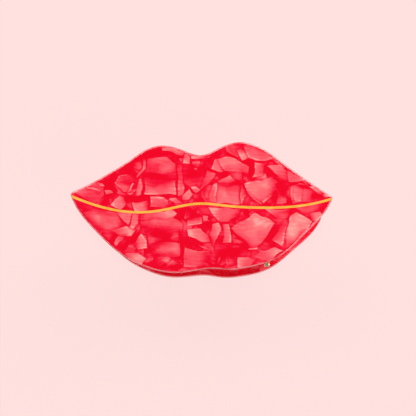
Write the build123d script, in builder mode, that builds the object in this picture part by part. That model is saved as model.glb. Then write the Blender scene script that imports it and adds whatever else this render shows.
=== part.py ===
"""Hair claw with two lips-shaped acetate plates on a gold-plated sprung metal claw.

The claw lies on its rear plate.  +Z is up, +X runs along the lips and the hinge, and +Y runs
from the lower lip, where the teeth are, to the upper lip, which is the lever that fingers press.
The origin is on the rear plate's outer face, straight below the middle of the hinge line.
"""

from build123d import *
import os
from math import atan, atan2, cos, degrees, hypot, radians, sin, sqrt

# ---------------------------------------------------------------- plates (mm, degrees)
plate_width = 90.0          # lips from corner to corner
plate_height = 45.0         # lips from the highest peak to the lowest lobe
plate_thickness = 3.2       # acetate sheet
outer_edge_radius = 0.6     # tumble-polished rounding of the outer face's edge
inner_edge_radius = 0.35    # and of the inner face's edge
mouth_corner_radius = 1.1   # rounding of the two mouth corners, seen from the front
line_width = 0.8            # gold mouth line, filled flush into a milled groove
line_depth = 0.4
front_plate_shift = (-2.3, 0.0)     # plate centre from claw centre, as bonded
rear_plate_shift = (-2.8, -0.9)
rear_plate_skew = -3.8      # the rear plate is bonded slightly turned

# ---------------------------------------------------------------- claw
jaw_angle = 13.0            # between the two plates when the claw is shut
hinge_gap = 15.5            # hinge axis to the inner face of each plate
hinge_rise = 8.0            # hinge axis above the plates' middle, towards the upper lip
bond_thickness = 0.3        # epoxy between pad and plate
bond_squeeze = 0.6          # epoxy that stands out round the pad
sheet = 1.2                 # stamped metal sheet
jaw_length = 46.0           # pad along the hinge
pad_above_hinge = 8.0
pad_below_hinge = 14.0
pad_corner_radius = 4.0
rear_tooth_reach = 29.6     # tooth tips below the hinge axis
front_tooth_reach = 28.5    # the front comb is a little shorter
tooth_root_bend = 25.0      # the teeth leave the pad at this angle
rear_tip_inset = 0.2        # outer side of a tooth's tip, short of the hinge line
front_tip_inset = 1.3
root_bend_radius = 4.0
tooth_pitch = 7.0
tooth_root_width = 3.4
tooth_tip_width = 2.0
rear_tooth_count = 7        # the front jaw has one tooth fewer, in the gaps between these

# ---------------------------------------------------------------- hinge
ear_radius = 3.4
ear_base = 10.0             # ear width where it joins the pad
ear_span = 24.4             # over the outer faces of the rear jaw's ears
side_clearance = 0.3        # between a rear ear and the front ear beside it
pin_radius = 1.25
pin_clearance = 0.05        # running fit in the front jaw's ears, radial
head_radius = 2.3
head_height = 0.9
head_round = 0.4
wire_radius = 0.55
coil_clearance = 0.55       # pin to the inside of the coil
coil_turns = 7
coil_pitch = 1.2
leg_height = 5.0            # the spring's feet press on the pads this far above the hinge
leg_clearance = 0.1         # foot to pad
sleeve_margin = 0.1         # the coil's plain sleeve is this much larger, so the legs grow out of it

# ---------------------------------------------------------------- outline of the lips
# Points are drawn on a 90 x 45 grid about the plate's middle and scaled to the plate.
grid_width = 90.0
grid_height = 45.0
upper_lip = [(-45.0, 5.1), (-34.0, 10.5), (-23.0, 17.3), (-18.0, 20.4), (-13.3, 21.4),
             (-6.5, 19.9), (0.2, 18.1), (6.5, 20.7), (13.4, 22.6), (20.0, 20.8),
             (29.0, 14.7), (38.0, 8.3), (45.2, 3.7)]
lower_lip = [(45.2, 3.7), (42.4, -1.6), (35.4, -9.1), (26.5, -16.9), (17.5, -20.1),
             (9.8, -21.2), (3.2, -20.8), (-2.5, -21.6), (-9.3, -22.3), (-18.0, -20.6),
             (-26.4, -16.7), (-35.2, -9.0), (-42.0, -1.1), (-45.0, 5.1)]
mouth_points = [(-44.4, 4.0), (-37.0, 1.2), (-29.0, -0.8), (-21.0, -1.5), (-12.5, -0.6),
                (-5.0, 1.0), (0.8, 1.5), (8.0, 0.8), (20.0, 0.1), (32.0, 0.5), (44.6, 3.1)]

# ---------------------------------------------------------------- planes
hinge = Vector(0, 0, plate_thickness + hinge_gap)
front_up = Vector(0, cos(radians(jaw_angle)), sin(radians(jaw_angle)))
front_out = Vector(0, -sin(radians(jaw_angle)), cos(radians(jaw_angle)))
rear_up = Vector(0, 1, 0)
rear_out = Vector(0, 0, -1)

# Each jaw has a flat plane along its plate and a side plane across it, both at the hinge.
front_flat = Plane(origin=hinge, x_dir=(1, 0, 0), z_dir=front_out)
front_side = Plane(origin=hinge, x_dir=front_up, z_dir=(1, 0, 0))
rear_flat = Plane(origin=hinge, x_dir=(-1, 0, 0), z_dir=rear_out)
rear_side = Plane(origin=hinge, x_dir=rear_up, z_dir=(-1, 0, 0))
pin_plane = Plane(origin=hinge, x_dir=(0, 1, 0), z_dir=(1, 0, 0))

# The plates' planes are at their middles: the front one on its inner face, looking out, and
# the rear one on its outer face, looking in.
front_middle = hinge + front_out * hinge_gap - front_up * hinge_rise
front_plate_plane = Plane(
    origin=front_middle + Vector(front_plate_shift[0], 0, 0) + front_up * front_plate_shift[1],
    x_dir=(1, 0, 0), z_dir=front_out)
rear_plate_plane = Plane(
    origin=(rear_plate_shift[0], rear_plate_shift[1] - hinge_rise, 0),
    x_dir=(cos(radians(rear_plate_skew)), sin(radians(rear_plate_skew)), 0), z_dir=(0, 0, 1))


def scaled(points):
    """Scale points from the drawing grid to the plate's own width and height."""
    return [(x * plate_width / grid_width, y * plate_height / grid_height) for x, y in points]


# ---------------------------------------------------------------- plates and mouth lines
def add_blank(part, plane, outer_offset, inner_offset):
    """The lips cut from sheet between two offsets of a plane, with rounded edges."""
    direction = 1 if outer_offset > inner_offset else -1
    with BuildSketch(plane.offset(inner_offset)) as outline:
        with BuildLine():
            Spline(*scaled(upper_lip))
            Spline(*scaled(lower_lip))
        make_face()
        corners = outline.vertices().sort_by(Axis.X)
        fillet([corners[0], corners[-1]], radius=mouth_corner_radius)
    extrude(outline.sketch, amount=direction * abs(outer_offset - inner_offset))
    flat_faces = part.faces().sort_by(Axis(plane.origin, plane.z_dir * direction))
    outer_edges = flat_faces[-1].edges()
    inner_edges = flat_faces[0].edges()
    fillet(outer_edges, radius=outer_edge_radius)
    fillet(inner_edges, radius=inner_edge_radius)


def cut_groove(plane, outer_offset, inner_offset, mode):
    """The mouth line's groove: taken out of a blank, or all that is kept of it."""
    direction = 1 if outer_offset > inner_offset else -1
    with BuildSketch(plane.offset(outer_offset)) as band:
        with BuildLine() as path:
            Spline(*scaled(mouth_points))
        trace(path.line, line_width=line_width)
    extrude(band.sketch, amount=-direction * line_depth, mode=mode)


def make_plate(plane, outer_offset, inner_offset):
    """One lips-shaped plate with its groove."""
    with BuildPart() as plate:
        add_blank(plate, plane, outer_offset, inner_offset)
        cut_groove(plane, outer_offset, inner_offset, Mode.SUBTRACT)
    return plate


def make_mouth_line(plane, outer_offset, inner_offset):
    """The gold filling of the groove, flush with the plate's face and its rounded edge."""
    with BuildPart() as line:
        add_blank(line, plane, outer_offset, inner_offset)
        cut_groove(plane, outer_offset, inner_offset, Mode.INTERSECT)
    return line


# ---------------------------------------------------------------- jaws
def tooth_places(count):
    """Middles of a comb's teeth along the hinge."""
    return [(i - (count - 1) / 2) * tooth_pitch for i in range(count)]


def pad_outline(extra=0.0):
    """The pad seen from outside, for the sketch that is open: width, height and corners."""
    height = pad_above_hinge + pad_below_hinge + 2 * extra
    middle = (pad_above_hinge - pad_below_hinge) / 2
    with Locations((0, middle)):
        RectangleRounded(jaw_length + 2 * extra, height, pad_corner_radius + extra)


def make_jaw(flat, side, tooth_count, tooth_reach, tip_inset, ear_outside, hole_radius):
    """One stamped jaw: pad, curved comb of teeth and two folded ears with pin holes."""
    pad_outer = hinge_gap - bond_thickness
    pad_inner = pad_outer - sheet
    # The teeth are one arc from the root bend to the tip, which ends near the hinge line.
    run = tooth_reach - pad_below_hinge - root_bend_radius * sin(radians(tooth_root_bend))
    inward = pad_outer - tip_inset - root_bend_radius * (1 - cos(radians(tooth_root_bend)))
    tooth_tip_angle = 2 * degrees(atan(inward / run)) - tooth_root_bend
    tooth_radius = run / (sin(radians(tooth_tip_angle)) - sin(radians(tooth_root_bend)))
    with BuildPart() as jaw:
        # Side view of the sheet: straight over the pad, then bent in towards the other jaw.
        with BuildSketch(side.offset(-jaw_length / 2)):
            with BuildLine():
                top = Line((pad_above_hinge, pad_outer), (-pad_below_hinge, pad_outer))
                bend = JernArc(start=top @ 1, tangent=top % 1, radius=root_bend_radius,
                               arc_size=tooth_root_bend)
                JernArc(start=bend @ 1, tangent=bend % 1, radius=tooth_radius,
                        arc_size=tooth_tip_angle - tooth_root_bend)
                offset(amount=sheet, side=Side.LEFT)
            make_face()
        extrude(amount=jaw_length)
        # Front view: the pad with the teeth below it.
        with BuildSketch(flat.offset(-hinge_gap)):
            pad_outline()
            for x in tooth_places(tooth_count):
                with BuildLine():
                    Polyline((x - tooth_root_width / 2, 1 - pad_below_hinge),
                             (x - tooth_tip_width / 2, tooth_tip_width / 2 - tooth_reach),
                             (x + tooth_tip_width / 2, tooth_tip_width / 2 - tooth_reach),
                             (x + tooth_root_width / 2, 1 - pad_below_hinge), close=True)
                make_face()
                with Locations((x, tooth_tip_width / 2 - tooth_reach)):
                    Circle(tooth_tip_width / 2)
        extrude(amount=2 * hinge_gap, mode=Mode.INTERSECT)
        # Ears, folded in from the pad to the hinge.
        for start in (ear_outside - sheet, -ear_outside):
            with BuildSketch(side.offset(start)):
                Circle(ear_radius)
                with Locations((0, pad_inner - sheet / 2)):
                    Rectangle(ear_base, sheet)
                make_hull()
                Circle(hole_radius, mode=Mode.SUBTRACT)
            extrude(amount=sheet)
    return jaw


def make_bond(flat):
    """Thin epoxy bed between a pad and its plate."""
    with BuildPart() as bond:
        with BuildSketch(flat.offset(hinge_gap - bond_thickness)):
            pad_outline(bond_squeeze)
        extrude(amount=bond_thickness)
    return bond


# ---------------------------------------------------------------- pin and spring
def make_pin():
    """Rivet through the four ears, with a domed head at each end."""
    with BuildPart() as pin:
        with BuildSketch(pin_plane.offset(-ear_span / 2)):
            Circle(pin_radius)
        extrude(amount=ear_span)
        for start in (-ear_span / 2 - head_height, ear_span / 2):
            with BuildSketch(pin_plane.offset(start)):
                Circle(head_radius)
            extrude(amount=head_height)
        ends = pin.faces().filter_by(GeomType.PLANE).sort_by(Axis.X)
        fillet([ends[0].edges()[0], ends[-1].edges()[0]], radius=head_round)
    return pin


def make_spring():
    """Torsion spring as a plain sleeve with two legs, one foot on each pad."""
    coil_inner = pin_radius + coil_clearance
    coil_mean = coil_inner + wire_radius
    coil_length = coil_turns * coil_pitch
    foot = hinge_gap - bond_thickness - sheet - wire_radius - leg_clearance
    reach = hypot(leg_height, foot)
    lean = atan2(foot, leg_height) - atan2(coil_mean, sqrt(reach ** 2 - coil_mean ** 2))
    length = sqrt(reach ** 2 - coil_mean ** 2)
    with BuildPart() as spring:
        with BuildSketch(pin_plane.offset(-coil_length / 2)):
            Circle(coil_mean + wire_radius + sleeve_margin)
            Circle(coil_inner, mode=Mode.SUBTRACT)
        extrude(amount=coil_length)
        for side in (front_side, rear_side):
            root = side.offset(coil_length / 2 - wire_radius - sleeve_margin)
            along = side.x_dir * cos(lean) + side.y_dir * sin(lean)
            across = side.x_dir * sin(lean) - side.y_dir * cos(lean)
            start = root.origin - across * coil_mean
            with BuildSketch(Plane(origin=start, x_dir=side.z_dir, z_dir=along)):
                Circle(wire_radius)
            extrude(amount=length)
    return spring


# ---------------------------------------------------------------- assembly
front_ear_outside = ear_span / 2 - sheet - side_clearance
pieces = {
    "front_plate": make_plate(front_plate_plane, plate_thickness, 0.0),
    "front_mouth_line": make_mouth_line(front_plate_plane, plate_thickness, 0.0),
    "front_bond": make_bond(front_flat),
    "front_jaw": make_jaw(front_flat, front_side, rear_tooth_count - 1, front_tooth_reach,
                          front_tip_inset, front_ear_outside, pin_radius + pin_clearance),
    "rear_plate": make_plate(rear_plate_plane, 0.0, plate_thickness),
    "rear_mouth_line": make_mouth_line(rear_plate_plane, 0.0, plate_thickness),
    "rear_bond": make_bond(rear_flat),
    "rear_jaw": make_jaw(rear_flat, rear_side, rear_tooth_count, rear_tooth_reach,
                         rear_tip_inset, ear_span / 2, pin_radius),
    "hinge_pin": make_pin(),
    "torsion_spring": make_spring(),
}

os.makedirs("parts", exist_ok=True)
for name, piece in pieces.items():
    piece.part.label = name
    export_step(piece.part, f"parts/{name}.step")
    print(name, "volume", round(piece.part.volume, 1), "mm3")
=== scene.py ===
# %% [markdown]
# # A lips-shaped hair claw
#
# Two flat plates of red pearl acetate are glued to a gold-plated metal claw.  The claw lies on
# its rear plate.  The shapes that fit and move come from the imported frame.  This lesson gives
# them their finishes, winds the real spring and rounds the stamped metal.

# %% Load the frame
import bpy
import bmesh
import math
from mathutils import Matrix, Vector


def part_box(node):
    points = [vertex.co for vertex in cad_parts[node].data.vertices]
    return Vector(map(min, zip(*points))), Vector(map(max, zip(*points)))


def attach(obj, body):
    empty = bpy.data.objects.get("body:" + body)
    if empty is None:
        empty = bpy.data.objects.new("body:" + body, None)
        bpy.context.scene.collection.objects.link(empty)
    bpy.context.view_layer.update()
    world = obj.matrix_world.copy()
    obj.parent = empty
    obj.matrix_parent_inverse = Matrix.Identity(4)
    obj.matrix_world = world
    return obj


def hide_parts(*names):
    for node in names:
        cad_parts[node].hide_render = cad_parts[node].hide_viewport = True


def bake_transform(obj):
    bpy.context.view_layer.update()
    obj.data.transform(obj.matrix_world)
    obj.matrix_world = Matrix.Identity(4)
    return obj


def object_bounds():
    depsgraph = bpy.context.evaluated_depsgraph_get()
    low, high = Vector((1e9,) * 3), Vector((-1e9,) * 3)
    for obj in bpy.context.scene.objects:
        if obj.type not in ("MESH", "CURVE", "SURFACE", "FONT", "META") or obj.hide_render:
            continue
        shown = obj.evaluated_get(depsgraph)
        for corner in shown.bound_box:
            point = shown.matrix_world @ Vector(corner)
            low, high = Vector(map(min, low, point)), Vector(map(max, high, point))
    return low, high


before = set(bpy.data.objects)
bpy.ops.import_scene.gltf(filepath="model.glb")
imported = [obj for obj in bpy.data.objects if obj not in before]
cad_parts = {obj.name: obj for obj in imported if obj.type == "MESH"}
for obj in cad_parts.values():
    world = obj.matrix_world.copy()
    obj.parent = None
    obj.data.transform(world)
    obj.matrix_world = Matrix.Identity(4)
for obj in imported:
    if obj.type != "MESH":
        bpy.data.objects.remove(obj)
cad_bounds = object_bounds()
MM = 0.001

# %% [markdown]
# ## Where the plates are
#
# Each plate is flat, so its own frame follows from its mesh: the flat faces give the outward
# normal, and the corners give the middle.  Every pattern below is drawn in that plate frame, in
# millimetres, so that it stays put on the plate whichever way the claw opens.

# %% Find each plate's frame
NEARLY_ALONG = 0.95


def flat_normal(node, towards):
    """Area-weighted normal of a node's flat faces that look along a rough direction."""
    total = Vector()
    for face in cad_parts[node].data.polygons:
        if face.normal.dot(towards) > NEARLY_ALONG:
            total += face.normal * face.area
    return total.normalized()


def plate_frame(node, normal, turn=0.0):
    """Plate frame at the middle of the outer face: x along the lips, y up the lips, z outwards."""
    up = normal.cross(Vector((1, 0, 0)))
    if up.y < 0:
        up = -up
    along = Vector((1, 0, 0))
    turned = Matrix.Rotation(turn, 3, normal)
    along, up = turned @ along, turned @ up
    corners = [v.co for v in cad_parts[node].data.vertices]
    spans = []
    for axis in (along, up, normal):
        shares = [c.dot(axis) for c in corners]
        spans.append((min(shares), max(shares)))
    middle = along * sum(spans[0]) / 2 + up * sum(spans[1]) / 2 + normal * spans[2][1]
    return along, up, normal, middle


FRONT_NORMAL = flat_normal("front_plate", Vector((0, -0.22, 0.97)))
REAR_TURN = math.radians(-3.8)
front_along, front_up, front_out, front_middle = plate_frame("front_plate", FRONT_NORMAL)
REAR_OUT = Vector((0, 0, -1))
rear_middle = plate_frame("rear_plate", REAR_OUT, -REAR_TURN)[3]
JAW_ANGLE = math.atan2(-front_out.y, front_out.z)
print("jaw angle", round(math.degrees(JAW_ANGLE), 2))
print("front middle mm", [round(c / MM, 2) for c in front_middle])
print("rear middle mm", [round(c / MM, 2) for c in rear_middle])

# %% [markdown]
# ## Camera, floor and light
#
# The claw is looked at straight along the front plate's normal.  The floor is pale and glows by
# itself, which keeps the shadows as faint as in a light tent.  Four soft boxes stand round the
# claw, and nothing bright stands behind the camera, so the polished face shows its own colours
# and only the rounded edges catch the lamps.

# %% Camera
CAMERA_DISTANCE = 0.350
CAMERA_LENS = 88.5
AIM_RIGHT = 2.26 * MM
AIM_UP = -0.17 * MM

camera_data = bpy.data.cameras.new("camera")
camera = bpy.data.objects.new("camera", camera_data)
bpy.context.scene.collection.objects.link(camera)
camera_data.lens = CAMERA_LENS
camera_data.sensor_width = 36.0
camera_data.clip_start = 0.01
camera_data.clip_end = 100.0
aim = front_middle + front_along * AIM_RIGHT + front_up * AIM_UP
camera.location = aim + front_out * CAMERA_DISTANCE
camera.rotation_euler = (JAW_ANGLE, 0.0, 0.0)
bpy.context.scene.camera = camera
bpy.context.scene.view_settings.view_transform = "Standard"
print("camera at mm", [round(c / MM, 1) for c in camera.location])

# %% Floor and light
FLOOR_COLOUR = (0.991, 0.745, 0.730, 1.0)
FLOOR_HALF = 15.0
FLOOR_GAP = 0.02 * MM
FLOOR_GLOW = 0.94
SKY_COLOUR = (1.0, 0.95, 0.94, 1.0)
SKY_STRENGTH = 0.03
SOFT_BOX_DISTANCE = 0.8
SOFT_BOX_SIZE = 0.42


def new_material(name):
    """A material with only its Principled shader and output, and the shader itself."""
    material = bpy.data.materials.new(name)
    material.use_nodes = True
    shader = material.node_tree.nodes["Principled BSDF"]
    return material, shader


floor_mesh = bpy.data.meshes.new("floor")
floor_corners = [(FLOOR_HALF * x, FLOOR_HALF * y, 0) for x, y in ((-1, -1), (1, -1), (1, 1), (-1, 1))]
floor_mesh.from_pydata(floor_corners, [], [(0, 1, 2, 3)])
floor = bpy.data.objects.new("floor", floor_mesh)
bpy.context.scene.collection.objects.link(floor)
floor.location.z = cad_bounds[0][2] - FLOOR_GAP
floor_material, floor_shader = new_material("floor_card")
floor_shader.inputs["Base Color"].default_value = (0.06, 0.045, 0.044, 1.0)
floor_shader.inputs["Roughness"].default_value = 0.9
floor_shader.inputs["Specular IOR Level"].default_value = 0.0
floor_shader.inputs["Emission Color"].default_value = FLOOR_COLOUR
floor_shader.inputs["Emission Strength"].default_value = FLOOR_GLOW
floor_mesh.materials.append(floor_material)

world = bpy.data.worlds.new("studio")
bpy.context.scene.world = world
world.use_nodes = True
sky = world.node_tree.nodes["Background"]
sky.inputs["Color"].default_value = SKY_COLOUR
sky.inputs["Strength"].default_value = SKY_STRENGTH


def soft_box(name, azimuth, elevation, power):
    """A square soft box that looks at the claw from an azimuth and an elevation, in degrees."""
    light = bpy.data.lights.new(name, "AREA")
    light.energy = power
    light.size = SOFT_BOX_SIZE
    lamp = bpy.data.objects.new(name, light)
    bpy.context.scene.collection.objects.link(lamp)
    turn, lift = math.radians(azimuth), math.radians(elevation)
    direction = Vector((math.cos(turn) * math.cos(lift), math.sin(turn) * math.cos(lift), math.sin(lift)))
    lamp.location = front_middle + direction * SOFT_BOX_DISTANCE
    lamp.rotation_euler = direction.to_track_quat("Z", "Y").to_euler()


soft_box("box_top_left", 128, 45, 3.7)
soft_box("box_top_right", 50, 42, 4.7)
soft_box("box_low_right", -42, 38, 2.2)
soft_box("box_low_left", 235, 34, 1.5)
print("soft boxes at", SOFT_BOX_DISTANCE, "m")

# %% [markdown]
# ## Helpers for shader trees
#
# A finish is a small network.  These helpers add a node, set its plain values and link its
# sockets in one call, so that each finish below reads as a recipe.

# %% Node helpers
def put(tree, kind, settings=None, inputs=None):
    """Add a node; inputs that are sockets are linked and the others are set."""
    node = tree.nodes.new(kind)
    for key, value in (settings or {}).items():
        setattr(node, key, value)
    for key, value in (inputs or {}).items():
        if isinstance(value, bpy.types.NodeSocket):
            tree.links.new(value, node.inputs[key])
        else:
            node.inputs[key].default_value = value
    return node


def calc(tree, operation, first, second=0.0, clamp=False):
    """A Math node's result."""
    node = put(tree, "ShaderNodeMath", {"operation": operation, "use_clamp": clamp}, {0: first, 1: second})
    return node.outputs[0]


def along(tree, vector, direction):
    """How far a vector reaches along a direction."""
    node = put(tree, "ShaderNodeVectorMath", {"operation": "DOT_PRODUCT"}, {0: vector, 1: direction})
    return node.outputs["Value"]


def shift(tree, operation, first, second):
    """A Vector Math node's vector."""
    return put(tree, "ShaderNodeVectorMath", {"operation": operation}, {0: first, 1: second}).outputs[0]


def fade(tree, value, start, end, low=0.0, high=1.0):
    """A smooth step from low at start to high at end."""
    inputs = {"Value": value, "From Min": start, "From Max": end, "To Min": low, "To Max": high}
    return put(tree, "ShaderNodeMapRange", {"interpolation_type": "SMOOTHSTEP"}, inputs).outputs[0]


def blend_values(tree, amount, under, over):
    """Mix two plain values."""
    node = put(tree, "ShaderNodeMix", {"data_type": "FLOAT"}, {0: amount, 2: under, 3: over})
    return node.outputs[0]


def object_mm(tree, middle=(0.0, 0.0, 0.0), turn=(0.0, 0.0, 0.0)):
    """Where a shaded spot is on its piece, in millimetres from a middle, in turned directions."""
    place = put(tree, "ShaderNodeTexCoord").outputs["Object"]
    inputs = {"Vector": place, "Location": middle, "Rotation": turn, "Scale": (MM, MM, MM)}
    return put(tree, "ShaderNodeMapping", {"vector_type": "TEXTURE"}, inputs).outputs[0]


def mix_colours(tree, amount, under, over):
    """Mix two colours, each a socket or a plain colour."""
    inputs = {0: amount, 6: opaque(under), 7: opaque(over)}
    return put(tree, "ShaderNodeMix", {"data_type": "RGBA"}, inputs).outputs[2]


def opaque(colour):
    """A plain colour with its alpha; a socket stays as it is."""
    return (*colour, 1.0) if isinstance(colour, tuple) else colour


def new_group(name, inputs, outputs):
    """A shader node group with named sockets; inputs give each one's type and usual value."""
    tree = bpy.data.node_groups.new(name, "ShaderNodeTree")
    for label, usual in inputs.items():
        kind = VECTOR if isinstance(usual, tuple) else VALUE
        tree.interface.new_socket(label, in_out="INPUT", socket_type=kind).default_value = usual
    for label, kind in outputs.items():
        tree.interface.new_socket(label, in_out="OUTPUT", socket_type=kind)
    start = tree.nodes.new("NodeGroupInput")
    end = tree.nodes.new("NodeGroupOutput")
    return tree, start.outputs, end.inputs


def use_group(tree, group, inputs):
    """Place a group in a tree with its own values."""
    return put(tree, "ShaderNodeGroup", {"node_tree": group}, inputs).outputs


VALUE = "NodeSocketFloat"
VECTOR = "NodeSocketVector"

# %% [markdown]
# ## Pearl acetate
#
# Pearl acetate is cast from offcuts: chips of satin sheet lie in a clear red mass at every
# angle, and the block is sliced.  Each chip fades from a dark end to a bright end, and clear deep
# red shows between the chips.  A Voronoi texture in three dimensions gives exactly such a slice:
# its cells are straight-sided blocks of all sizes once a plane cuts them, and each cell brings
# random numbers for its tone and the way it fades.

# %% Group: a bed of random chips
SEED_JUMPS = (7.13, -4.37, 3.71)


def build_chip_bed():
    """Random chips of one size: their tone, where they are, and their bright broken rims."""
    usual = {"Vector": (0.0, 0.0, 0.0), "Chip Size": 9.0, "Seed": 0.0}
    usual.update({"Share": 0.7, "Gap": 0.3, "Dome": 1.2})
    tree, given, result = new_group("chip_bed", usual, {"Tone": VALUE, "Mask": VALUE, "Rim": VALUE})
    jumps = {axis: calc(tree, "MULTIPLY", given["Seed"], jump) for axis, jump in enumerate(SEED_JUMPS)}
    seed = put(tree, "ShaderNodeCombineXYZ", None, jumps).outputs[0]
    spot = shift(tree, "ADD", given["Vector"], seed)
    scaled = put(tree, "ShaderNodeVectorMath", {"operation": "SCALE"},
                 {0: spot, "Scale": calc(tree, "DIVIDE", 1.0, given["Chip Size"])}).outputs[0]
    cells = put(tree, "ShaderNodeTexVoronoi", {"feature": "F1"}, {"Vector": scaled, "Scale": 1.0})
    edges = put(tree, "ShaderNodeTexVoronoi", {"feature": "DISTANCE_TO_EDGE"},
                {"Vector": scaled, "Scale": 1.0})
    lots = put(tree, "ShaderNodeSeparateColor", None, {0: cells.outputs["Color"]}).outputs
    edge = calc(tree, "MULTIPLY", edges.outputs["Distance"], given["Chip Size"])
    present = calc(tree, "LESS_THAN", lots[2], given["Share"])
    inside = fade(tree, edge, given["Gap"], calc(tree, "ADD", given["Gap"], 0.25))
    mask = calc(tree, "MULTIPLY", inside, present)
    # The tone fades across the chip in a direction of its own, and towards its edges.
    local = put(tree, "ShaderNodeSeparateXYZ", None,
                {0: shift(tree, "SUBTRACT", scaled, cells.outputs["Position"])}).outputs
    angle = calc(tree, "MULTIPLY", lots[0], 2 * math.pi)
    across = calc(tree, "ADD", calc(tree, "MULTIPLY", local[0], calc(tree, "COSINE", angle)),
                  calc(tree, "MULTIPLY", local[1], calc(tree, "SINE", angle)))
    level = calc(tree, "ADD", calc(tree, "MULTIPLY", lots[1], 0.75), calc(tree, "MULTIPLY", across, 0.9))
    pillow = fade(tree, edge, given["Gap"], calc(tree, "ADD", given["Gap"], given["Dome"]), 0.35, 1.0)
    tree.links.new(calc(tree, "MULTIPLY", level, pillow, clamp=True), result["Tone"])
    tree.links.new(mask, result["Mask"])
    rim = fade(tree, edge, calc(tree, "ADD", given["Gap"], 0.7), calc(tree, "ADD", given["Gap"], 0.2))
    rim = calc(tree, "MULTIPLY", calc(tree, "MULTIPLY", rim, mask), fade(tree, across, 0.05, 0.4))
    tree.links.new(rim, result["Rim"])
    return tree


chip_bed = build_chip_bed()
print("chip bed nodes", len(chip_bed.nodes))

# %% [markdown]
# ## Chips laid one by one
#
# The large chips near the surface are what the eye knows this plate by, so they are laid one by
# one: each is a straight-sided piece with up to six corners, a dark and a bright end, and the
# direction in which it brightens.  The group tests a point against all its sides: a side is a
# direction and a distance, and one dot product with (x, y, -1) says how far outside it is.  The
# dark end dissolves into the mass below, the bright end is crisp, and deep red lies just outside.
# The groups form a chain that hands on one vector, (x, y, tone so far).  That keeps the renderer
# from working out every chip before it lays the first, for which it has no room.

# %% Group: one laid chip
CHIP_SIDES = 6


def hand_on(tree, chain, tone):
    """The chain's vector with a new tone."""
    carrier = put(tree, "ShaderNodeCombineXYZ", None, {2: tone}).outputs[0]
    inputs = {0: chain, 1: (1.0, 1.0, 0.0), 2: carrier}
    return put(tree, "ShaderNodeVectorMath", {"operation": "MULTIPLY_ADD"}, inputs).outputs[0]


def build_laid_chip():
    """One chip over what lies under it."""
    usual = {"Chain": (0.0, 0.0, 0.0), "Grain": 0.5}
    usual.update({f"Side {k}": (0.0, 0.0, 100.0) for k in range(1, CHIP_SIDES + 1)})
    usual.update({"Slope": (0.0, 0.0, 0.0), "Dark": 0.3, "Bright": 0.7, "Rim": 0.1, "Dome": 0.0})
    tree, given, result = new_group("laid_chip", usual, {"Chain": VECTOR})
    point = put(tree, "ShaderNodeVectorMath", {"operation": "MULTIPLY_ADD"},
                {0: given["Chain"], 1: (1.0, 1.0, 0.0), 2: (0.0, 0.0, -1.0)}).outputs[0]
    under = along(tree, given["Chain"], (0.0, 0.0, 1.0))
    outside = along(tree, point, given["Side 1"])
    for k in range(2, CHIP_SIDES + 1):
        outside = calc(tree, "MAXIMUM", outside, along(tree, point, given[f"Side {k}"]))
    slope = along(tree, point, given["Slope"])
    # Satin folds run across the slope, each chip with its own.
    start = calc(tree, "MULTIPLY", given["Bright"], 37.0)
    folds = calc(tree, "ADD", calc(tree, "MULTIPLY", slope, 9.0), start)
    tone = fade(tree, slope, 0.0, 1.0, given["Dark"], given["Bright"])
    tone = calc(tree, "ADD", tone, calc(tree, "MULTIPLY", calc(tree, "SINE", folds), 0.05))
    pillow = calc(tree, "MULTIPLY", fade(tree, outside, -2.6, 0.0), given["Dome"])
    tone = calc(tree, "SUBTRACT", tone, pillow)
    rim = calc(tree, "MULTIPLY", fade(tree, outside, -0.65, -0.2), given["Rim"])
    rim = calc(tree, "MULTIPLY", rim, given["Grain"])
    lit = calc(tree, "ADD", tone, calc(tree, "MULTIPLY", rim, fade(tree, slope, 0.15, 0.55)))
    halo = fade(tree, outside, 1.1, 0.1, 1.0, 0.6)
    mask = fade(tree, outside, 0.12, -0.16)
    mask = calc(tree, "MULTIPLY", mask, fade(tree, slope, -0.05, 0.3, 0.45, 1.0))
    over = blend_values(tree, mask, calc(tree, "MULTIPLY", under, halo), lit)
    tree.links.new(hand_on(tree, given["Chain"], over), result["Chain"])
    return tree


laid_chip = build_laid_chip()


def chip_sides(corners):
    """Each side as (outward direction, distance), for corners that go either way round."""
    middle = Vector((sum(c[0] for c in corners) / len(corners), sum(c[1] for c in corners) / len(corners)))
    sides = []
    for here, there in zip(corners, corners[1:] + corners[:1]):
        run = Vector((there[0] - here[0], there[1] - here[1]))
        out = Vector((run.y, -run.x)).normalized()
        if out.dot(middle - Vector(here)) > 0:
            out = -out
        sides.append((out.x, out.y, out.dot(Vector(here))))
    return sides


def chip_slope(corners, direction):
    """A ramp from 0 to 1 over the chip, rising towards a direction in degrees."""
    way = Vector((math.cos(math.radians(direction)), math.sin(math.radians(direction))))
    reach = [way.dot(Vector(c)) for c in corners]
    span = max(reach) - min(reach)
    return way.x / span, way.y / span, min(reach) / span


# %% Group: a soft wash of light or dark
def build_soft_wash():
    """Adds an oval wash to what lies under it, brightest in its middle."""
    usual = {"Chain": (0.0, 0.0, 0.0), "Middle": (0.0, 0.0, 0.0), "Turn": (0.0, 0.0, 0.0),
             "Size": (4.0, 2.0, 1000.0), "Amount": 0.2}
    tree, given, result = new_group("soft_wash", usual, {"Chain": VECTOR})
    place = put(tree, "ShaderNodeMapping", {"vector_type": "TEXTURE"},
                {"Vector": given["Chain"], "Location": given["Middle"], "Rotation": given["Turn"],
                 "Scale": given["Size"]}).outputs[0]
    reach = put(tree, "ShaderNodeVectorMath", {"operation": "LENGTH"}, {0: place}).outputs["Value"]
    wash = calc(tree, "MULTIPLY", fade(tree, reach, 1.0, 0.0), given["Amount"])
    carrier = put(tree, "ShaderNodeCombineXYZ", None, {2: wash}).outputs[0]
    tree.links.new(shift(tree, "ADD", given["Chain"], carrier), result["Chain"])
    return tree


soft_wash = build_soft_wash()

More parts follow.
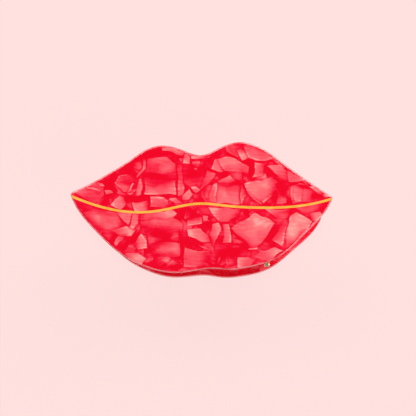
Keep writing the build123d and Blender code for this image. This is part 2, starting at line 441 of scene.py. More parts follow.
# %% The front plate's large chips
# Each chip: corners in millimetres from the plate's middle, its dark end, its bright end, the
# direction that it brightens in, its rim, and how far it darkens towards its edges.
FRONT_CHIPS = [
    # painted highlights: pale lines just inside the upper right edge and the lower right edge, where the
    # rounded edge would catch the lamps
    ([(20.7, 18.6), (28.4, 13.9), (28.2, 13.4), (20.5, 18.1)], 0.6, 0.9, 0, 0.1, 0.0),
    ([(28.4, 13.8), (40.4, 5.3), (40.1, 4.8), (28.2, 13.3)], 0.65, 0.95, -40, 0.1, 0.0),
    ([(41.7, -2.0), (29.7, -13.5), (30.1, -13.9), (42.1, -2.4)], 0.6, 0.85, 40, 0.1, 0.0),
    # left corner
    ([(-43.6, 4.8), (-38.2, 7.9), (-35.3, 8.6), (-32.9, 7), (-33.5, 4.2), (-36.5, 1.6)],
     0.3, 0.55, 110, 0.1, 0.0),
    ([(-39.2, 7.1), (-38.8, 6.5), (-34.6, 5.0), (-34.2, 5.6), (-36.5, 6.5)], 0.5, 0.95, 200, 0.0, 0.0),
    ([(-36, 8.7), (-33.6, 8.1), (-32.8, 6.7), (-34.5, 7.1)], 0.45, 0.85, 330, 0.0, 0.0),
    ([(-32.8, 5.4), (-31, 5.6), (-30, 4.6), (-32.6, 4.1)], 0.6, 0.85, 90, 0.0, 0.0),
    ([(-40.8, -1.7), (-37.4, -0.2), (-28.8, -1.7), (-26.4, -7), (-31.2, -9.4), (-36, -7.4)],
     0.45, 0.66, 60, 0.0, 0.3),
    ([(-31.2, -7.6), (-25.9, -6.3), (-22.3, -7.6), (-24, -9.9), (-28.4, -9.4)], 0.45, 0.9, 10, 0.1, 0.0),
    ([(-28.4, -9.5), (-26.5, -9.6), (-28.8, -13.4), (-29.6, -13)], 0.4, 0.75, 200, 0.1, 0.0),
    # bright patch and shards beside the line
    ([(-31, 0.6), (-28, 3.9), (-26.4, 3.6), (-25.9, 1.2), (-27.8, -0.7)], 0.55, 1.0, 185, 0.1, 0.0),
    ([(-29.4, -1.2), (-24, -1.7), (-24.5, -4.4), (-25.2, -5.8), (-28, -3)], 0.5, 0.8, 300, 0.1, 0.0),
    ([(-23.6, -1.6), (-21.6, -2.2), (-21.4, -5), (-23, -7.4), (-24.3, -6.8)], 0.5, 0.82, 270, 0.1, 0.0),
    ([(-23.6, 1.8), (-18.6, 2.2), (-17.8, -1.4), (-22.8, -1.2)], 0.45, 0.8, 200, 0.1, 0.0),
    # ring chip and its neighbours
    ([(-29.6, 8), (-28.2, 10.8), (-25, 12), (-21.8, 10.8), (-21, 7), (-24.6, 4.3)],
     0.12, 0.5, 225, 0.5, 0.0),
    ([(-28.6, 8), (-26.4, 8.7), (-23, 8.2), (-24, 5.7), (-27, 5.8)], 0.5, 0.8, 260, 0.0, 0.2),
    ([(-25.4, 5.6), (-24.9, 5.5), (-22.8, 8.4), (-23.3, 8.7)], 0.7, 0.95, 60, 0.0, 0.0),
    ([(-22.6, 3.8), (-20.5, 4.4), (-20.5, 9.9), (-21.2, 10)], 0.4, 0.75, 0, 0.1, 0.0),
    ([(-22.6, 10.9), (-22, 10.4), (-19.4, 13), (-20, 13.6)], 0.5, 0.85, 30, 0.0, 0.0),
    ([(-20.2, 13), (-19.2, 13.2), (-18.6, 16.8), (-19.3, 16.9)], 0.45, 0.85, 260, 0.0, 0.0),
    # big square
    ([(-19.6, 11.2), (-18, 16.8), (-12, 17.2), (-8.8, 15.5), (-8.8, 9.4)], 0.15, 0.5, 80, 0.0, 0.0),
    ([(-19.6, 10.6), (-8.9, 9.2), (-8.5, 4.5), (-19.5, 4.7)], 0.25, 0.72, 275, 0.3, 0.0),
    ([(-8.2, 14.8), (-6.4, 15.5), (-6.2, 4.5), (-7.9, 4)], 0.3, 0.55, 250, 0.25, 0.0),
    ([(-17.2, 4.0), (-13.4, 3.9), (-11.3, 2.7), (-10.8, 0.6), (-17.4, 0.2)], 0.35, 0.68, 110, 0.35, 0.0),
    ([(-11.2, 3.3), (-8.6, 3.3), (-6.4, 1.7), (-8.8, 1.2)], 0.5, 0.9, 150, 0.0, 0.0),
    # below the line, left of the middle
    ([(-20.8, -2.2), (-10.5, -0.6), (-8.5, -2.2), (-9.6, -3.7), (-20.8, -5.2)], 0.4, 0.85, 20, 0.1, 0.0),
    ([(-20.8, -4.6), (-9.6, -3.7), (-6.4, -5.5), (-6.8, -9.4), (-20, -7.6)], 0.2, 0.58, 80, 0.0, 0.0),
    ([(-18.4, -8.4), (-12.6, -8.4), (-11.8, -11.6), (-17.6, -12.4)], 0.3, 0.75, 250, 0.0, 0.3),
    ([(-17.4, -13), (-13.4, -11.8), (-7.2, -12.6), (-7.4, -16.3), (-13, -17.3), (-17.4, -16.5)],
     0.4, 0.85, 40, 0.0, 0.35),
    ([(-20.6, -8.7), (-18.4, -11.2), (-18.5, -14.2), (-22, -14.4), (-23.4, -12)], 0.4, 0.95, 10, 0.15, 0.0),
    ([(-26, -16), (-22, -15.3), (-19.2, -17.2), (-20.6, -19.4), (-23, -18.6)], 0.5, 0.92, 320, 0.1, 0.0),
    # top notch
    ([(-13.6, 20.9), (-10.5, 20.6), (-5.7, 19.2), (-6.1, 17.9), (-13.4, 19.8)], 0.55, 0.72, 90, 0.15, 0.0),
    ([(-5.5, 18.8), (-3.7, 18.3), (-4.3, 15.3), (-6.3, 15.2)], 0.6, 1.0, 230, 0.0, 0.0),
    ([(-3.6, 18), (1.6, 17.1), (1.4, 16.5), (-3.4, 16.9)], 0.5, 0.95, 180, 0.0, 0.0),
    ([(-3.4, 16), (-0.6, 16.1), (-0.8, 15.2), (-3.2, 15)], 0.4, 0.7, 90, 0.0, 0.0),
    # triangle
    ([(-6, 12.5), (2, 12.6), (4.9, 11.3), (-1.6, 5), (-6, 8)], 0.08, 0.42, 280, 0.0, 0.0),
    ([(4.9, 11.5), (4.6, 10.7), (-1.2, 4.9), (-1.5, 5.8)], 0.5, 0.85, 40, 0.0, 0.0),
    ([(2, 12.9), (4.9, 11.7), (3.4, 9.8), (0, 7.2)], 0.3, 0.6, 20, 0.0, 0.0),
    ([(-4, 7.1), (-2.1, 7.3), (-0.4, 6.1), (-1.9, 4.5)], 0.5, 0.85, 90, 0.1, 0.0),
    ([(-6.4, 4.1), (-4.3, 6.1), (-2.8, 4.2), (-3.8, 2.8), (-6.3, 2.7)], 0.6, 0.95, 60, 0.0, 0.0),
    # upper middle
    ([(3.1, 13.6), (4.8, 16.6), (6.6, 17), (8.6, 12.8), (6.2, 12.4)], 0.45, 0.8, 170, 0.25, 0.0),
    ([(5.8, 16.9), (9.8, 17.6), (16.4, 14.3), (16.2, 11.3), (11.5, 12), (8, 13)],
     0.45, 0.72, 110, 0.3, 0.0),
    ([(11.8, 19.9), (13.5, 20.3), (15.3, 18.3), (16.5, 16.5), (13.7, 16.5)], 0.55, 0.95, 250, 0.1, 0.0),
    ([(14.7, 21.6), (17, 21.4), (22.6, 18.5), (24.2, 16.1), (18.7, 16), (16.2, 16.6)],
     0.45, 0.66, 250, 0.3, 0.0),
    ([(18.5, 15.3), (22.2, 14.9), (20.8, 11.8), (17.4, 10)], 0.35, 0.7, 180, 0.3, 0.0),
    ([(22.5, 13.9), (26.4, 14.6), (29.3, 12.7), (30.2, 9.5), (26.9, 10.9)], 0.3, 0.75, 130, 0.1, 0.0),
    ([(29.6, 13.4), (35.4, 9.3), (33, 8.7), (29.8, 8.9)], 0.45, 0.66, 300, 0.1, 0.0),
    # middle chip
    ([(5.2, 8.9), (9.4, 11.4), (12.6, 8.2), (11, 7.8), (5.4, 7.8)], 0.3, 0.85, 95, 0.0, 0.0),
    ([(4.8, 8.2), (12.7, 8.4), (13.1, 1.4), (4.8, 1.4)], 0.3, 0.78, 262, 0.0, 0.0),
    ([(2.6, 2.4), (3.6, 8), (5, 8.4), (5, 2)], 0.45, 0.85, 10, 0.15, 0.0),
    ([(13.2, 7.6), (14.6, 6.6), (15.8, 4.4), (13.4, 1.4)], 0.35, 0.75, 220, 0.3, 0.0),
    ([(2.2, -0.1), (13.4, -0.4), (13, -3), (9.2, -5), (6.7, -4.8), (4.2, -2.6)], 0.35, 0.85, 160, 0.1, 0.0),
    # diamond over the line
    ([(14.6, 7.9), (21.6, 10.1), (24.5, 10.8), (25.9, 6.2), (20.2, 0.8), (16, 4.8)],
     0.45, 0.8, 195, 0.3, 0.0),
    ([(16, 4.9), (16.3, 4.4), (20.4, 0.5), (20.2, 1.1)], 0.6, 0.9, 300, 0.0, 0.0),
    ([(20.9, 1), (24.6, 4.2), (24.4, 4.7), (20.6, 1.6)], 0.5, 0.85, 210, 0.0, 0.0),
    ([(26.6, 5.4), (28.8, 7), (29, 1.6), (26, 1.2)], 0.2, 0.55, 300, 0.1, 0.0),
    # right corner
    ([(30.6, 7), (33.1, 8.4), (35.5, 8.2), (41, 4.4), (41.3, 2.7), (31, 1)], 0.15, 0.72, 180, 0.0, 0.0),
    ([(31.6, 7.2), (34.1, 7.2), (34.3, 2), (32, 1.6)], 0.4, 0.85, 250, 0.1, 0.0),
    ([(36.8, 7.5), (38.4, 7.3), (41.5, 5), (40.6, 4.4)], 0.6, 1.0, 100, 0.0, 0.0),
    ([(41.2, 4.7), (42.6, 4.9), (44.2, 3.9), (41.8, 3.4)], 0.6, 0.95, 30, 0.0, 0.0),
    # lower right
    ([(20.7, -0.4), (30.3, -0.6), (29.3, -4), (25.5, -3.6)], 0.35, 0.7, 110, 0.1, 0.0),
    ([(10.2, -7), (13.5, -4.9), (18.5, -1.8), (25.4, -5.6), (22.3, -10), (17.8, -14.3)],
     0.62, 0.86, 60, 0.15, 0.15),
    ([(16.2, -13.6), (16.4, -14.2), (19.2, -14.2), (19, -13.6)], 0.7, 1.0, 330, 0.0, 0.0),
    ([(30.7, -3), (32.7, -2), (37.9, -4.8), (34.1, -9.8), (28.8, -14.2), (28.5, -10)],
     0.45, 0.95, 80, 0.3, 0.0),
    ([(28.3, -5), (29.6, -4.1), (28.4, -9.8), (27.4, -13.2), (24.4, -11.3)], 0.3, 0.72, 320, 0.3, 0.0),
    ([(36.2, -2.2), (40.8, -1.6), (42, -3), (40.3, -5.4), (37.5, -4.3)], 0.5, 0.95, 20, 0.0, 0.0),
    ([(35.4, -7.8), (37.2, -7.9), (32.6, -12.8), (31.2, -12.8)], 0.4, 0.8, 60, 0.0, 0.0),
    ([(20.2, -14.6), (25.5, -14), (28, -14.8), (23.5, -18.2), (18.7, -17.2)], 0.3, 0.88, 50, 0.15, 0.0),
    ([(12.7, -17), (16.3, -16.9), (18.9, -18.2), (15.8, -20.5), (12.4, -20.3)], 0.3, 0.82, 170, 0.1, 0.0),
    # lower middle
    ([(2.6, -9.4), (3.8, -5.6), (6.2, -4.9), (6.8, -7), (4.3, -13.7)], 0.45, 0.88, 20, 0.15, 0.0),
    ([(7.4, -5.4), (9.4, -6), (10.7, -11.8), (7.7, -12)], 0.5, 0.85, 0, 0.25, 0.0),
    ([(-4.8, -4.2), (-1.2, -2.6), (0.3, -3.4), (0.2, -5.2), (-4.8, -6)], 0.2, 0.75, 280, 0.3, 0.0),
    ([(0.9, -2.8), (2.5, -3.1), (2, -4.7), (0.7, -5)], 0.4, 0.8, 60, 0.2, 0.0),
    ([(-4.9, -7.4), (-0.6, -6.8), (2.2, -9.4), (4.2, -13.6), (-1, -11.3), (-4.4, -10.8)],
     0.5, 0.98, 190, 0.1, 0.0),
    ([(-5.2, -11.6), (-1.4, -12.6), (2.6, -14.8), (2.4, -14.2), (-1, -12)], 0.5, 0.85, 170, 0.0, 0.0),
    ([(-5.6, -14), (2.6, -15.1), (2.9, -19.8), (-6.4, -20.4)], 0.3, 0.72, 160, 0.2, 0.0),
    ([(5.6, -17), (6.4, -16.8), (5.8, -18.9), (5.2, -18.9)], 0.6, 0.95, 90, 0.0, 0.0),
]
# Each wash: middle, length, width, turn in degrees, and how much it adds.
FRONT_WASHES = [
    ((-17.5, 19.0), 4.0, 1.8, 20, -0.5),
    ((-22.2, 14.3), 2.2, 1.9, 0, -0.3),
    ((21.8, 8.5), 5.5, 5.0, 0, 0.2),
    ((30.0, 6.5), 5.0, 3.0, -30, 0.16),
    ((39.0, 0.5), 5.0, 3.5, 10, 0.26),
    ((30.5, -0.5), 5.0, 4.0, 0, -0.24),
    ((30.5, -8.5), 5.0, 3.5, 40, 0.26),
    ((21.0, -17.0), 5.0, 2.5, 25, 0.2),
    ((-13.8, 8.5), 5.5, 5.0, 0, -0.2),
    ((-13.8, -10.0), 5.5, 5.0, 0, -0.2),
    ((-22.7, -0.7), 5.0, 4.5, 0, 0.13),
    ((-5.0, -17.5), 5.0, 4.0, 0, -0.3),
    ((4.0, -17.5), 5.0, 4.0, 0, -0.15),
    ((-24.0, -15.0), 6.0, 3.0, -30, 0.13),
    ((-12, 13.6), 3.6, 2.4, 15, 0.42),
    ((-15.5, 10.9), 5.5, 1.6, 0, -0.4),
    ((-15, 15.5), 4.5, 2.5, 30, 0.12),
    ((-24.5, 17), 12, 3.5, 30, -0.25),
    ((-26, 14.8), 8, 2, 30, -0.2),
    ((-31, 8), 2.5, 4.5, -20, -0.5),
    ((-23, 3.2), 5.5, 1.2, 0, -0.45),
    ((-36, -3.6), 3, 2.4, 0, 0.2),
    ((-24.2, -11.2), 6.5, 1.4, 50, -0.6),
    ((-2.5, 10.6), 3.5, 4, 0, -0.15),
    ((-5, -1.8), 5.5, 2.6, -20, -0.4),
    ((8, -16.5), 7.5, 3.6, 10, -0.5),
    ((-12, -20.6), 9, 2, 0, -0.35),
    ((-8, 17.6), 5, 1.2, -10, -0.4),
    ((17.4, 13), 1.1, 3.6, -10, -0.4),
    ((28, 6.5), 2.2, 5, 15, -0.4),
    ((34.5, 7.4), 4.5, 1.1, -8, -0.5),
    ((39.5, 3.8), 3, 1.6, -10, -0.35),
    ((33, -1.6), 5.5, 1.3, -25, -0.3),
    ((24.8, -8.6), 1.6, 5.5, -40, -0.45),
    ((14, -10.8), 6, 1, -42, -0.3),
    ((11.5, 8.2), 2.6, 1.4, 20, -0.3),
    ((8, 4), 2.4, 2.4, 0, 0.12),
    ((20, -4.4), 3.2, 2.4, 0, 0.12),
    ((-7.2, -11.6), 1.6, 5, 10, -0.35),
    ((21, -20.4), 5, 1.2, 15, -0.3),
]
print("front chips", len(FRONT_CHIPS), "washes", len(FRONT_WASHES))

# %% Pearl acetate material
TONES = [
    (0.0, (0.86, 0.0, 0.018)),
    (0.1, (0.88, 0.001, 0.028)),
    (0.2, (0.90, 0.007, 0.040)),
    (0.36, (0.945, 0.038, 0.075)),
    (0.61, (0.96, 0.108, 0.145)),
    (0.82, (0.965, 0.20, 0.205)),
    (1.0, (0.97, 0.36, 0.34)),
]
# The colour of the painted highlight along each plate's rounded rim.
PAINTED_EDGE_HIGHLIGHT = (1.0, 0.42, 0.44)


def pearl_acetate(name, middle, turn, seed, beds, laid, washes, edge_highlight_strength):
    """Pearl acetate for one plate: beds of random chips, then the chips laid one by one."""
    material, shader = new_material(name)
    tree = material.node_tree
    flat = object_mm(tree, middle, turn)
    # A gentle bend keeps the chips' sides from being ruler-straight.
    wander = put(tree, "ShaderNodeTexNoise", None, {"Vector": flat, "Scale": 0.21, "Detail": 0.6})
    bend = shift(tree, "SUBTRACT", wander.outputs["Color"], (0.5, 0.5, 0.5))
    bend = put(tree, "ShaderNodeVectorMath", {"operation": "SCALE"}, {0: bend, "Scale": 2.0}).outputs[0]
    bent = shift(tree, "ADD", flat, bend)
    # Silky grain: long fine streaks and soft clouds.
    streak_place = put(tree, "ShaderNodeMapping", None,
                       {"Vector": bent, "Rotation": (0, 0, 0.9), "Scale": (0.22, 1.5, 0.6)}).outputs[0]
    streak = put(tree, "ShaderNodeTexNoise", None, {"Vector": streak_place, "Scale": 1.0, "Detail": 3.0})
    cloud = put(tree, "ShaderNodeTexNoise", None, {"Vector": bent, "Scale": 0.3, "Detail": 2.0})
    tone = fade(tree, cloud.outputs["Fac"], 0.4, 0.72, 0.0, 0.35)
    for size, share, gap, strength, offset in beds:
        bed = use_group(tree, chip_bed, {"Vector": bent, "Chip Size": size, "Seed": seed + offset,
                                         "Share": share, "Gap": gap})
        over = calc(tree, "MULTIPLY", bed["Tone"], strength)
        tone = blend_values(tree, bed["Mask"], tone, over)
        tone = calc(tree, "ADD", tone, calc(tree, "MULTIPLY", bed["Rim"], 0.3))
    broken = fade(tree, streak.outputs["Fac"], 0.4, 0.6)
    chain = hand_on(tree, bent, tone)
    for corners, dark, bright, direction, rim, dome in laid:
        values = {"Chain": chain, "Grain": broken, "Dark": dark, "Bright": bright, "Rim": rim,
                  "Dome": dome, "Slope": chip_slope(corners, direction)}
        for k, side in enumerate(chip_sides(corners), start=1):
            values[f"Side {k}"] = side
        chain = use_group(tree, laid_chip, values)["Chain"]
    for spot, length, width, lie, amount in washes:
        values = {"Chain": chain, "Middle": (*spot, 0.0), "Turn": (0.0, 0.0, math.radians(lie)),
                  "Size": (length, width, 1000.0), "Amount": amount}
        chain = use_group(tree, soft_wash, values)["Chain"]
    tone = along(tree, chain, (0.0, 0.0, 1.0))
    silk = fade(tree, streak.outputs["Fac"], 0.25, 0.75, -0.07, 0.07)
    soft = fade(tree, cloud.outputs["Fac"], 0.3, 0.7, -0.07, 0.07)
    tone = calc(tree, "ADD", calc(tree, "ADD", tone, silk), soft, clamp=True)
    ramp = put(tree, "ShaderNodeValToRGB", None, {0: tone})
    ramp.color_ramp.elements.remove(ramp.color_ramp.elements[1])
    for step, (at, colour) in enumerate(TONES):
        element = ramp.color_ramp.elements[0] if step == 0 else ramp.color_ramp.elements.new(at)
        element.position = at
        element.color = (*colour, 1.0)
    # A painted highlight: the base colour turns paler in broken streaks on the plate's rounded rim, where the
    # edge would catch the lamps.
    tilt = put(tree, "ShaderNodeAttribute", {"attribute_name": "edge_tilt"}).outputs["Fac"]
    rim = calc(tree, "MULTIPLY", fade(tree, tilt, 0.06, 0.25), fade(tree, tilt, 0.5, 0.8, 1.0, 0.0))
    patchy = fade(tree, streak.outputs["Fac"], 0.35, 0.65, 0.3 * edge_highlight_strength, edge_highlight_strength)
    rim = calc(tree, "MULTIPLY", rim, patchy)
    tree.links.new(mix_colours(tree, rim, ramp.outputs["Color"], PAINTED_EDGE_HIGHLIGHT), shader.inputs["Base Color"])
    tree.links.new(fade(tree, tone, 0.0, 1.0, 0.5, 0.36), shader.inputs["Roughness"])
    shader.inputs["Specular IOR Level"].default_value = 0.04
    shader.inputs["Coat Weight"].default_value = 1.0
    shader.inputs["Coat Roughness"].default_value = 0.03
    shader.inputs["Coat IOR"].default_value = 1.48
    print(name, "nodes", len(tree.nodes))
    return material


# Beds: chip size, share present, gap between chips, strength of tone, seed offset.
FRONT_BEDS = [(8.0, 0.7, 0.4, 0.62, 0.0), (3.8, 0.3, 0.25, 0.85, 2.0)]
REAR_BEDS = [(11.0, 0.8, 0.4, 0.8, 0.0), (7.5, 0.5, 0.3, 1.0, 1.0), (3.8, 0.3, 0.3, 0.95, 2.0)]
front_acetate = pearl_acetate("pearl_acetate_front", front_middle, (JAW_ANGLE, 0, 0), 1.0,
                              FRONT_BEDS, FRONT_CHIPS, FRONT_WASHES, 0.75)
# The strip of the rear plate below the front one shows one paler chip, and is darkened by painted shade where
# the front plate hangs over it.
REAR_CHIPS = [
    ([(0.5, -19.5), (3.0, -18.8), (6.2, -20.2), (6.4, -23.5), (1.2, -23.5)],
     0.9, 1.3, 80, 0.1, 0.2),
]
# A wide dark wash over the strip: painted shade under the front plate.
REAR_PAINTED_SHADE = [((6.0, -21.5), 50.0, 5.0, 0, -1.0)]
rear_acetate = pearl_acetate("pearl_acetate_rear", rear_middle, (0, 0, REAR_TURN), 5.0,
                             REAR_BEDS, REAR_CHIPS, REAR_PAINTED_SHADE, 0.25)

# %% [markdown]
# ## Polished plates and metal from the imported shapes
#
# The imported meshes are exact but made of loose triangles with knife-sharp edges.  Real acetate is
# tumbled until every edge is round, and stamped metal is barrelled before it is plated.  A merged
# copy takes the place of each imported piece: its corners are joined, its sharp edges get a small
# rounding where the tool leaves one, and normals weighted by face area keep flat faces flat while
# the rounded edges catch the light.

# %% Merged copies with rounded edges
MERGE = 0.001 * MM
FLAT_WITHIN = math.radians(0.5)
SHARP_EDGE = math.radians(50)
SMOOTH_WITHIN = math.radians(40)


def plain_mesh(piece):
    """Turn a piece with modifiers into a plain mesh and drop the modifiers."""
    ready = piece.evaluated_get(bpy.context.evaluated_depsgraph_get())
    mesh = bpy.data.meshes.new_from_object(ready)
    piece.modifiers.clear()
    return mesh


def new_piece(name, mesh):
    """An object in the scene for a mesh or a curve."""
    piece = bpy.data.objects.new(name, mesh)
    bpy.context.scene.collection.objects.link(piece)
    return piece


def polished_copy(node, name, material, round_over=0.0, steps=3):
    """A merged copy of a CAD node, its sharp edges rounded over, in its own finish."""
    form = bmesh.new()
    form.from_mesh(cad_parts[node].data)
    bmesh.ops.remove_doubles(form, verts=form.verts, dist=MERGE)
    if round_over:
        bmesh.ops.dissolve_limit(form, angle_limit=FLAT_WITHIN, verts=form.verts, edges=form.edges)
        edges = [e for e in form.edges if e.is_manifold and e.calc_face_angle() > SHARP_EDGE]
        bmesh.ops.bevel(form, geom=edges, offset=round_over, offset_type="OFFSET", segments=steps,
                        profile=0.5, affect="EDGES", clamp_overlap=True)
        bmesh.ops.triangulate(form, faces=form.faces)
    mesh = bpy.data.meshes.new(name)
    form.to_mesh(mesh)
    form.free()
    if "custom_normal" in mesh.attributes:
        mesh.attributes.remove(mesh.attributes["custom_normal"])
    mesh.materials.clear()
    mesh.materials.append(material)
    mesh.polygons.foreach_set("material_index", [0] * len(mesh.polygons))
    mesh.polygons.foreach_set("use_smooth", [True] * len(mesh.polygons))
    mesh.set_sharp_from_angle(angle=SMOOTH_WITHIN)
    piece = new_piece(name, mesh)
    weights = piece.modifiers.new("weights", "WEIGHTED_NORMAL")
    weights.keep_sharp = True
    piece.data = plain_mesh(piece)
    piece.data.name = name
    print(name, "triangles", len(piece.data.polygons))
    return piece


def place_on(piece, node, body):
    """The piece rides on a body and stands for its CAD node."""
    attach(piece, body)
    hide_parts(node)


# %% The two plates
def mark_edges(piece, outward):
    """Store each face's tilt away from the plate's flat faces: 0 when flat, 1 on the wall."""
    tilt = piece.data.attributes.new("edge_tilt", "FLOAT", "FACE")
    for face, value in zip(piece.data.polygons, tilt.data):
        value.value = math.acos(min(1.0, abs(face.normal.dot(outward)))) / (math.pi / 2)
    print(piece.name, "faces on the rounded rim", sum(0.05 < value.value < 0.95 for value in tilt.data))


front_plate = polished_copy("front_plate", "front_lips_plate", front_acetate)
mark_edges(front_plate, front_out)
place_on(front_plate, "front_plate", "front")
rear_plate = polished_copy("rear_plate", "rear_lips_plate", rear_acetate)
mark_edges(rear_plate, REAR_OUT)
place_on(rear_plate, "rear_plate", "rear")

# %% [markdown]
# ## Marks of making and wear
#
# Every metal part here is handled, so all of them share one group: fine hairlines in two
# directions from stretched noise, and a slow patina that shifts colour.  Each metal gets the
# group with its own grain and depth.

# %% Group: fine marks
def build_fine_marks():
    """Hairlines and patina in a piece's own millimetres."""
    usual = {"Vector": (0.0, 0.0, 0.0), "Grain": 1.0, "Patina Size": 3.0}
    tree, given, result = new_group("fine_marks", usual, {"Marks": VALUE, "Patina": VALUE, "Height": VALUE})
    lines = []
    for turn in (0.35, 1.9):
        lie = put(tree, "ShaderNodeMapping", None, {"Vector": given["Vector"], "Rotation": (0.3, 0.2, turn),
                                                    "Scale": (0.5, 9.0, 9.0)}).outputs[0]
        noise = put(tree, "ShaderNodeTexNoise", None, {"Vector": lie, "Scale": given["Grain"], "Detail": 2.0})
        lines.append(fade(tree, noise.outputs["Fac"], 0.56, 0.72))
    marks = calc(tree, "MAXIMUM", lines[0], lines[1])
    slow = put(tree, "ShaderNodeTexNoise", None, {"Vector": given["Vector"], "Detail": 3.0,
               "Scale": calc(tree, "DIVIDE", 1.0, given["Patina Size"])})
    tree.links.new(marks, result["Marks"])
    tree.links.new(fade(tree, slow.outputs["Fac"], 0.35, 0.7), result["Patina"])
    tree.links.new(calc(tree, "SUBTRACT", 0.5, calc(tree, "MULTIPLY", marks, 0.5)), result["Height"])
    return tree


fine_marks = build_fine_marks()
MARK_ROUGHNESS = 0.15
MARK_DEPTH = 0.02 * MM


def metal(name, clean, aged, rough, metallic=1.0, grain=1.0, patina_size=3.0, depth=0.12):
    """A metal finish: two tones by patina, hairlines in roughness and in relief."""
    material, shader = new_material(name)
    tree = material.node_tree
    marks = use_group(tree, fine_marks,
                      {"Vector": object_mm(tree), "Grain": grain, "Patina Size": patina_size})
    tree.links.new(mix_colours(tree, marks["Patina"], clean, aged), shader.inputs["Base Color"])
    tree.links.new(fade(tree, marks["Marks"], 0.0, 1.0, rough, rough + MARK_ROUGHNESS),
                   shader.inputs["Roughness"])
    bump = put(tree, "ShaderNodeBump", None,
               {"Height": marks["Height"], "Strength": depth, "Distance": MARK_DEPTH})
    tree.links.new(bump.outputs["Normal"], shader.inputs["Normal"])
    shader.inputs["Metallic"].default_value = metallic
    return material


# %% [markdown]
# ## The gold mouth line
#
# The groove is filled with gold lacquer that is thicker in its middle, because the liquid climbs
# the walls and then shrinks.  Its edges are rounded over a fifth of its width, which leaves the
# thin dark border that a real filled line has.  The lacquer holds fine metal powder, so it is part
# metal and part plain colour, and never mirror-bright.

# %% Gold lacquer and the two mouth lines
LINE_ROUNDING = 0.16 * MM
line_gold = metal("gold_lacquer", (0.97, 0.53, 0.07), (0.95, 0.42, 0.045), 0.4, metallic=0.1,
                  grain=2.2, patina_size=2.0, depth=0.2)
for side in ("front", "rear"):
    line = polished_copy(f"{side}_mouth_line", f"{side}_gold_line", line_gold, LINE_ROUNDING)
    place_on(line, f"{side}_mouth_line", side)

# %% [markdown]
# ## The stamped jaws, the pin and the epoxy
#
# The jaws are sheet metal, stamped, barrelled and plated in pale gold.  The edges of the teeth
# are what shows under the lip, as a bright line beside a darker face, so they get a real rounding
# and not just a normal map.  The pin is turned from brass and polished brighter.

# %% Metal finishes
jaw_gold = metal("gold_plating", (0.97, 0.76, 0.46), (0.86, 0.57, 0.29), 0.28, metallic=0.88,
                 grain=1.4, patina_size=5.0)
pin_gold = metal("polished_pin_gold", (0.98, 0.78, 0.46), (0.90, 0.62, 0.30), 0.12,
                 grain=3.0, patina_size=1.5)
spring_steel = metal("spring_steel", (0.66, 0.64, 0.61), (0.42, 0.40, 0.38), 0.24,
                     grain=4.0, patina_size=2.0)


def cured_epoxy(name):
    """Nearly clear glue, tinted by the plate below it, with cloudy spots and a wet skin."""
    material, shader = new_material(name)
    tree = material.node_tree
    cloudy = put(tree, "ShaderNodeTexNoise", None, {"Vector": object_mm(tree), "Scale": 0.5, "Detail": 3.0})
    spots = fade(tree, cloudy.outputs["Fac"], 0.35, 0.7)
    colour = mix_colours(tree, spots, (0.86, 0.26, 0.22), (0.93, 0.62, 0.50))
    tree.links.new(colour, shader.inputs["Base Color"])
    tree.links.new(fade(tree, cloudy.outputs["Fac"], 0.3, 0.7, 0.1, 0.28), shader.inputs["Roughness"])
    shader.inputs["Coat Weight"].default_value = 0.6
    return material


epoxy = cured_epoxy("cured_epoxy")

# %% Jaws, glue beds and pin
JAW_ROUNDING = 0.2 * MM
GLUE_ROUNDING = 0.1 * MM
for side in ("front", "rear"):
    jaw = polished_copy(f"{side}_jaw", f"{side}_toothed_jaw", jaw_gold, JAW_ROUNDING)
    place_on(jaw, f"{side}_jaw", side)
    bed = polished_copy(f"{side}_bond", f"{side}_epoxy_bed", epoxy, GLUE_ROUNDING, steps=2)
    place_on(bed, f"{side}_bond", side)
pin = polished_copy("hinge_pin", "turned_hinge_pin", pin_gold)
place_on(pin, "hinge_pin", "rear")

# %% [markdown]
# ## The torsion spring
#
# One wire makes the spring: a foot on the front pad, about six close turns round the pin, and a
# foot on the rear pad.  The path is a formula, so a loop writes its points, and Geometry Nodes
# sweep the round wire along it.

# %% Spring sizes from the imported parts
low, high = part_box("hinge_pin")
HINGE = Vector((0.0, (low[1] + high[1]) / 2, (low[2] + high[2]) / 2))
WIRE_RADIUS = 0.55 * MM
COIL_RADIUS = 2.35 * MM
COIL_HALF = 3.55 * MM
FOOT_HEIGHT = 5.0 * MM
FOOT_REACH = 13.35 * MM
WHOLE_TURNS = 6
TURN_STEPS = 24
WIRE_SIDES = 20
print("hinge at mm", [round(c / MM, 2) for c in HINGE])


def leg(up, out, where):
    """A leg's foot on one jaw, and the angle round the pin at which the leg leaves the coil."""
    reach = math.hypot(FOOT_HEIGHT, FOOT_REACH)
    length = math.sqrt(reach ** 2 - COIL_RADIUS ** 2)
    lean = math.atan2(FOOT_REACH, FOOT_HEIGHT) - math.atan2(COIL_RADIUS, length)
    radial = out * math.cos(lean) - up * math.sin(lean)
    centre = HINGE + Vector((where, 0, 0))
    tangent = centre + radial * COIL_RADIUS
    foot = tangent + (up * math.cos(lean) + out * math.sin(lean)) * length
    return foot, math.atan2(radial.z, radial.y)


# %% The wire's path
TURN = 2 * math.pi
front_foot, start_angle = leg(front_up, front_out, COIL_HALF)
rear_foot, end_angle = leg(Vector((0, 1, 0)), REAR_OUT, -COIL_HALF)
sweep = (end_angle - start_angle) % TURN + WHOLE_TURNS * TURN
steps = round(sweep / TURN * TURN_STEPS)
path = [front_foot]
for k in range(steps + 1):
    share = k / steps
    angle = start_angle + sweep * share
    around = Vector((0, math.cos(angle), math.sin(angle))) * COIL_RADIUS
    path.append(HINGE + Vector((COIL_HALF * (1 - 2 * share), 0, 0)) + around)
path.append(rear_foot)
wire_curve = bpy.data.curves.new("spring_path", "CURVE")
wire_curve.dimensions = "3D"
spline = wire_curve.splines.new("POLY")
spline.points.add(len(path) - 1)
for point, place in zip(spline.points, path):
    point.co = (*place, 1.0)
print("turns", round(sweep / TURN, 2), "path points", len(path))

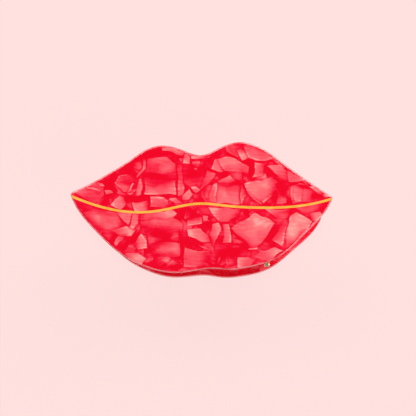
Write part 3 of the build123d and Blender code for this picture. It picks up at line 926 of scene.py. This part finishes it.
# %% Geometry Nodes: sweep a round wire along a path
def build_wire_sweep():
    """A curve becomes round wire with closed ends."""
    tree = bpy.data.node_groups.new("wire_sweep", "GeometryNodeTree")
    tree.interface.new_socket("Geometry", in_out="INPUT", socket_type="NodeSocketGeometry")
    radius = tree.interface.new_socket("Wire Radius", in_out="INPUT", socket_type="NodeSocketFloat")
    sides = tree.interface.new_socket("Wire Sides", in_out="INPUT", socket_type="NodeSocketInt")
    finish = tree.interface.new_socket("Finish", in_out="INPUT", socket_type="NodeSocketMaterial")
    tree.interface.new_socket("Geometry", in_out="OUTPUT", socket_type="NodeSocketGeometry")
    start = tree.nodes.new("NodeGroupInput").outputs
    section = put(tree, "GeometryNodeCurvePrimitiveCircle", None,
                  {"Resolution": start["Wire Sides"], "Radius": start["Wire Radius"]})
    swept = put(tree, "GeometryNodeCurveToMesh", None,
                {"Curve": start["Geometry"], "Profile Curve": section.outputs["Curve"], "Fill Caps": True})
    smooth = put(tree, "GeometryNodeSetShadeSmooth", None, {"Geometry": swept.outputs["Mesh"]})
    real = put(tree, "GeometryNodeRealizeInstances", None, {"Geometry": smooth.outputs["Geometry"]})
    done = put(tree, "GeometryNodeSetMaterial", None,
               {"Geometry": real.outputs["Geometry"], "Material": start["Finish"]})
    tree.links.new(done.outputs["Geometry"], tree.nodes.new("NodeGroupOutput").inputs[0])
    return tree, radius.identifier, sides.identifier, finish.identifier


wire_sweep, radius_id, sides_id, finish_id = build_wire_sweep()
drawn = new_piece("spring_path", wire_curve)
sweep_step = drawn.modifiers.new("sweep", "NODES")
sweep_step.node_group = wire_sweep
sweep_step[radius_id] = WIRE_RADIUS
sweep_step[sides_id] = WIRE_SIDES
sweep_step[finish_id] = spring_steel
wire_mesh = plain_mesh(drawn)
bpy.data.objects.remove(drawn)
wire_form = bmesh.new()
wire_form.from_mesh(wire_mesh)
bmesh.ops.remove_doubles(wire_form, verts=wire_form.verts, dist=MERGE)
bmesh.ops.recalc_face_normals(wire_form, faces=wire_form.faces)
wire_form.to_mesh(wire_mesh)
wire_form.free()
wire_mesh.set_sharp_from_angle(angle=SHARP_EDGE)
spring = new_piece("wound_spring", wire_mesh)
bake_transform(spring)
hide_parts("torsion_spring")
print("spring triangles", sum(len(p.vertices) - 2 for p in wire_mesh.polygons))
